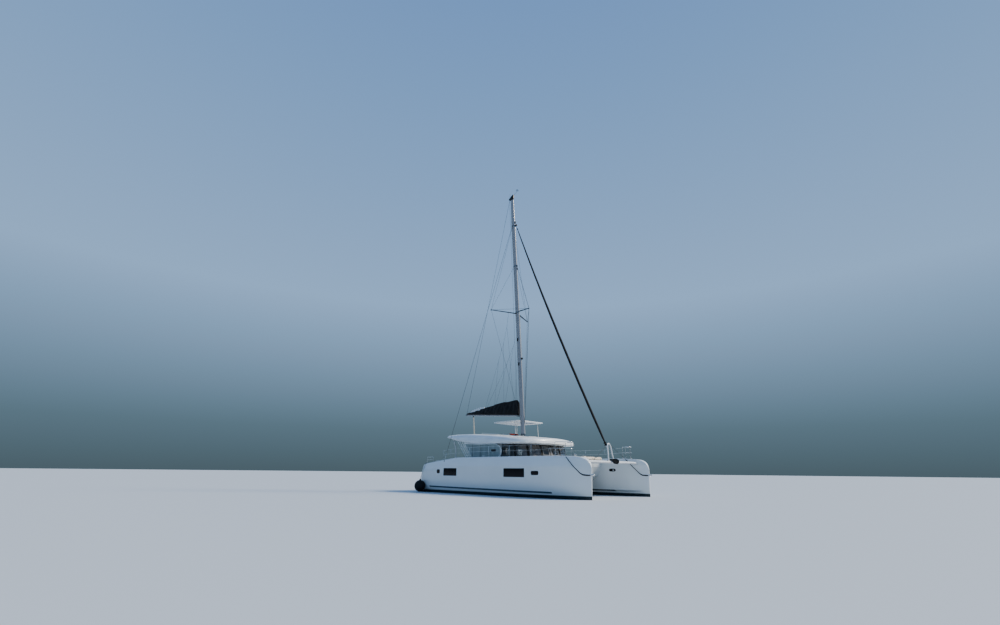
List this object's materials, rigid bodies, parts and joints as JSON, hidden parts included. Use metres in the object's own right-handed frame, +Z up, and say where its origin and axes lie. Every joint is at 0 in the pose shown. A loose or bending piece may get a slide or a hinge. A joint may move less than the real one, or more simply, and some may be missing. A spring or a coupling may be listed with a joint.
{
  "type": "sailing catamaran",
  "caption": "Cruising sailing catamaran afloat: two hulls, bridgedeck saloon, raised helm under a hard top, raked mast, furled jib and a bagged mainsail on its boom.",
  "frame": {"origin": "amidships on the centreline at the waterline", "axes": "+X towards the bows, +Y to port, +Z up"},
  "size_m": [12.9023, 8.18, 22.385],
  "materials": {
    "gelcoat": "white gelcoat, glossy on the topsides",
    "window": "dark tinted acrylic",
    "antifouling": "dark matt antifouling paint",
    "drive_metal": "grey painted aluminium",
    "bronze": "cast bronze",
    "engine_iron": "painted cast iron",
    "stainless": "polished stainless steel",
    "netting": "woven white net",
    "spar_aluminium": "light grey coated aluminium",
    "canvas": "black acrylic canvas",
    "upholstery": "grey marine upholstery",
    "teak": "oiled wood",
    "fender_rubber": "black inflated vinyl"
  },
  "bodies": {
    "root": {"ball_fender": "fender_rubber", "bow_eye_port": "stainless", "bow_eye_starboard": "stainless", "bridgedeck": "gelcoat", "cabin_wing_port": "gelcoat", "cabin_wing_starboard": "gelcoat", "cap_shroud_port": "stainless", "cap_shroud_starboard": "stainless", "coachroof": "gelcoat", "cockpit_bench": "gelcoat", "cockpit_lounge": "gelcoat", "cockpit_table": "teak", "crossbeam": "spar_aluminium", "engine_port": "engine_iron", "engine_starboard": "engine_iron", "forestay_jib": "canvas", "galley_unit": "teak", "helm_console": "gelcoat", "helm_hardtop": "gelcoat", "helm_platform": "gelcoat", "helm_seat": "upholstery", "hull_port": "gelcoat", "hull_starboard": "gelcoat", "hull_window_aft_port": "window", "hull_window_aft_starboard": "window", "hull_window_forward_port": "window", "hull_window_forward_starboard": "window", "keel_port": "antifouling", "keel_starboard": "antifouling", "lifelines_port": "stainless", "lifelines_starboard": "stainless", "mast": "spar_aluminium", "mast_support_post": "spar_aluminium", "pulpit_port": "stainless", "pulpit_starboard": "stainless", "roof_pillar_port": "gelcoat", "roof_pillar_starboard": "gelcoat", "saildrive_port": "drive_metal", "saildrive_starboard": "drive_metal", "saloon_bulkhead": "gelcoat", "saloon_glazing": "window", "saloon_sofa": "upholstery", "saloon_table": "teak", "saloon_walls": "gelcoat", "stern_rail_port": "stainless", "stern_rail_starboard": "stainless", "trampoline_port": "netting", "trampoline_starboard": "netting", "windlass": "stainless"},
    "rudder_starboard": {"rudder_starboard": "antifouling"},
    "propeller_starboard": {"propeller_starboard": "bronze"},
    "engine_hatch_starboard": {"engine_hatch_starboard": "gelcoat"},
    "rudder_port": {"rudder_port": "antifouling"},
    "propeller_port": {"propeller_port": "bronze"},
    "engine_hatch_port": {"engine_hatch_port": "gelcoat"},
    "boom": {"boom": "spar_aluminium", "sail_bag": "canvas"},
    "saloon_door": {"saloon_door": "window"},
    "helm_wheel": {"helm_wheel": "stainless"}
  },
  "joints": [
    {"name": "boom_swing", "type": "hinge", "parent": "root", "child": "boom", "pos_m": [-0.9, 0, 4.675], "axis": [0, 0, 1], "range_deg": [-48, 48]},
    {"name": "rudder_starboard_turn", "type": "hinge", "parent": "root", "child": "rudder_starboard", "pos_m": [-5.55, -2.85, -0.4], "axis": [0, 0, 1], "range_deg": [-35, 35]},
    {"name": "rudder_port_turn", "type": "hinge", "parent": "root", "child": "rudder_port", "pos_m": [-5.55, 2.85, -0.4], "axis": [0, 0, 1], "range_deg": [-35, 35]},
    {"name": "wheel_turn", "type": "hinge", "parent": "root", "child": "helm_wheel", "pos_m": [-2.76, 1.1, 3.2], "axis": [1, 0, 0], "range_deg": [-540, 540]},
    {"name": "propeller_starboard_spin", "type": "hinge", "parent": "root", "child": "propeller_starboard", "pos_m": [-4.96, -2.85, -0.86], "axis": [1, 0, 0], "continuous": true},
    {"name": "propeller_port_spin", "type": "hinge", "parent": "root", "child": "propeller_port", "pos_m": [-4.96, 2.85, -0.86], "axis": [1, 0, 0], "continuous": true},
    {"name": "engine_hatch_starboard_lift", "type": "hinge", "parent": "root", "child": "engine_hatch_starboard", "pos_m": [-3.87, -2.96, 1.92], "axis": [0, 1, 0], "range_deg": [0, 80]},
    {"name": "engine_hatch_port_lift", "type": "hinge", "parent": "root", "child": "engine_hatch_port", "pos_m": [-3.87, 2.96, 1.92], "axis": [0, 1, 0], "range_deg": [0, 80]},
    {"name": "door_slide", "type": "slide", "parent": "root", "child": "saloon_door", "axis": [0, 1, 0], "range_m": [0, 1.3]}
  ],
  "couplings": [
    {"joint": "rudder_port_turn", "follows": "rudder_starboard_turn", "ratio": 1},
    {"joint": "wheel_turn", "follows": "rudder_starboard_turn", "ratio": 15.4}
  ]
}
